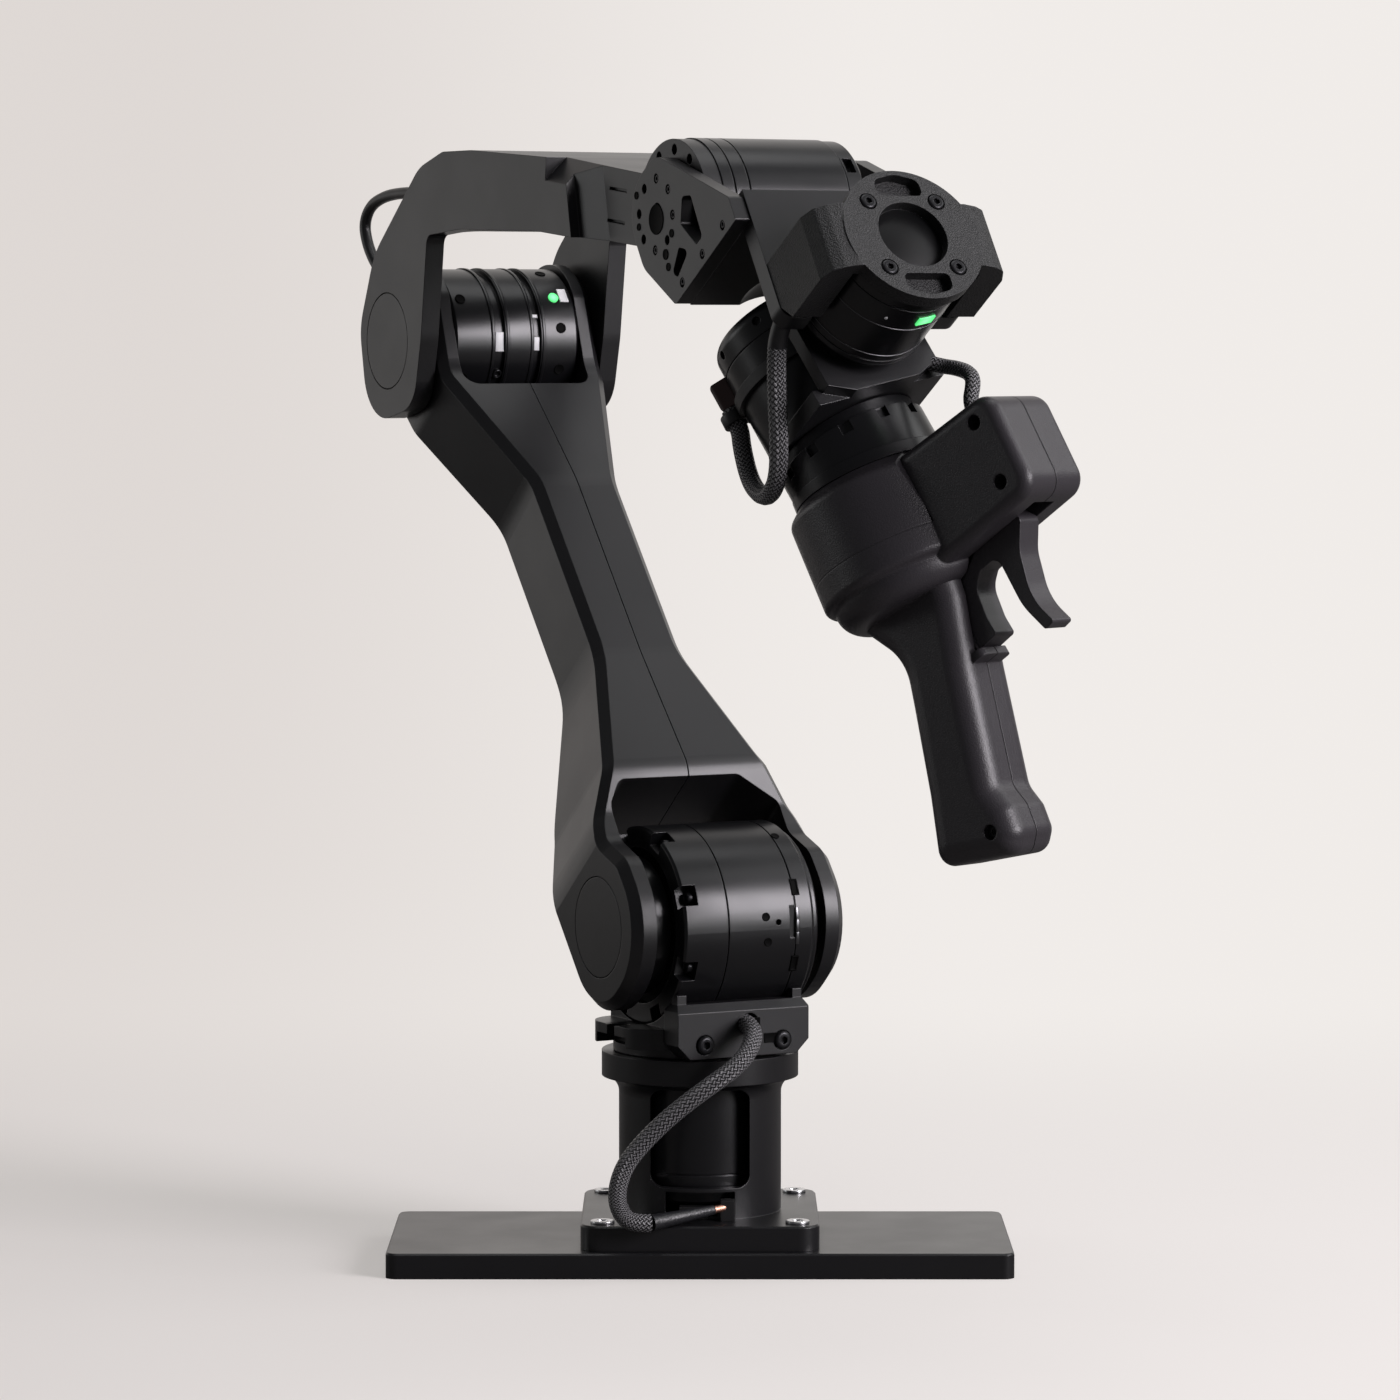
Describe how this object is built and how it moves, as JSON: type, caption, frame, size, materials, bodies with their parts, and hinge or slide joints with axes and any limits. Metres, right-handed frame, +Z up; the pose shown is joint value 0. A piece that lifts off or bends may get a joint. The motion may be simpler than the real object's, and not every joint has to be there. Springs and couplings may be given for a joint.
{
  "type": "robot arm with trigger handle",
  "caption": "Desktop robot arm on a flat plate: turning pedestal, two-shell upper arm, yoke forearm, pitch, yaw and roll wrist and a pistol grip with a double trigger.",
  "frame": {"origin": "middle of the plate's underside", "axes": "+Z up, +X along the plate's long side, +Y away from the side where the cord plugs in"},
  "size_m": [0.316, 0.4193, 0.4866],
  "materials": {
    "anodised_black": "satin",
    "motor_black": "semi-gloss",
    "black_plastic": "matte",
    "bright_screw": "bright",
    "dark_screw": "satin",
    "braided_sleeve": "braided",
    "green_lamp": "gloss",
    "red_plug": "matte",
    "shrink_sleeve": "satin",
    "bare_copper": "bright"
  },
  "bodies": {
    "base": {"base_plate": "anodised_black", "pedestal": "anodised_black", "base_motor": "motor_black", "foot_screws": "bright_screw", "base_socket": "black_plastic", "base_plug": "shrink_sleeve", "base_plug_tip": "bare_copper"},
    "shoulder": {"turntable": "anodised_black", "shoulder_bracket": "anodised_black", "cable_block": "anodised_black", "block_screws": "bright_screw", "shoulder_motor": "motor_black", "shoulder_motor_ring": "motor_black", "shoulder_motor_core": "motor_black", "shoulder_motor_cover": "motor_black", "base_cord": "braided_sleeve"},
    "upper_arm": {"upper_arm_left": "anodised_black", "upper_arm_right": "anodised_black", "shoulder_output": "motor_black", "shoulder_cap_left": "anodised_black", "shoulder_cap_right": "anodised_black", "elbow_motor": "motor_black", "elbow_lamp": "green_lamp", "elbow_cord": "braided_sleeve"},
    "forearm": {"forearm": "anodised_black", "elbow_hub_left": "motor_black", "elbow_hub_right": "motor_black", "elbow_cap_left": "anodised_black", "elbow_cap_right": "anodised_black", "wrist_pitch_motor": "motor_black", "wrist_pitch_cover": "motor_black"},
    "wrist": {"cheek_left": "anodised_black", "cheek_right": "anodised_black", "cheek_screws": "dark_screw", "pitch_output": "motor_black", "wrist_bracket": "anodised_black", "yaw_cap": "anodised_black", "yaw_cap_screws": "dark_screw", "yaw_motor": "motor_black", "yaw_lamp": "green_lamp", "wrist_cord": "braided_sleeve"},
    "roll_unit": {"yaw_output": "motor_black", "roll_bracket": "anodised_black", "roll_motor": "motor_black", "cable_clip": "black_plastic", "wrist_plug": "red_plug", "handle_cord": "braided_sleeve"},
    "handle": {"roll_output": "motor_black", "handle_adapter": "motor_black", "handle_collar": "black_plastic", "handle_left": "black_plastic", "handle_right": "black_plastic", "handle_screws": "dark_screw", "trigger_pin": "bright_screw"},
    "trigger": {"trigger": "black_plastic"}
  },
  "joints": [
    {"name": "base_turn", "type": "hinge", "parent": "base", "child": "shoulder", "pos_m": [0, 0, 0.092], "axis": [0, 0, 1], "range_deg": [-150, 150], "deforming": ["base_cord"]},
    {"name": "shoulder_pitch", "type": "hinge", "parent": "shoulder", "child": "upper_arm", "pos_m": [0, 0, 0.148], "axis": [-0.8813, -0.4726, 0], "range_deg": [-110, 45]},
    {"name": "elbow_pitch", "type": "hinge", "parent": "upper_arm", "child": "forearm", "pos_m": [-0.09973, 0.18599, 0.4004], "axis": [0.8813, 0.4726, 0], "range_deg": [-120, 15], "deforming": ["elbow_cord"]},
    {"name": "wrist_pitch", "type": "hinge", "parent": "forearm", "child": "wrist", "pos_m": [0.02549, -0.04753, 0.45431], "axis": [-0.8813, -0.4726, 0], "range_deg": [-24, 90]},
    {"name": "wrist_yaw", "type": "hinge", "parent": "wrist", "child": "roll_unit", "pos_m": [0.04603, -0.08584, 0.38864], "axis": [0.3941, -0.7349, 0.5519], "range_deg": [-45, 45], "deforming": ["wrist_cord"]},
    {"name": "handle_roll", "type": "hinge", "parent": "roll_unit", "child": "handle", "pos_m": [0.04603, -0.08584, 0.38864], "axis": [0.4524, -0.3677, -0.8125], "range_deg": [-120, 120], "deforming": ["handle_cord"]},
    {"name": "trigger_pull", "type": "hinge", "parent": "handle", "child": "trigger", "pos_m": [0.12429, -0.14899, 0.3291], "axis": [-0.626, -0.7798, 0.0044], "range_deg": [-10, 0], "stiffness_Nm_per_rad": 0.6, "springref_deg": 5.73}
  ]
}
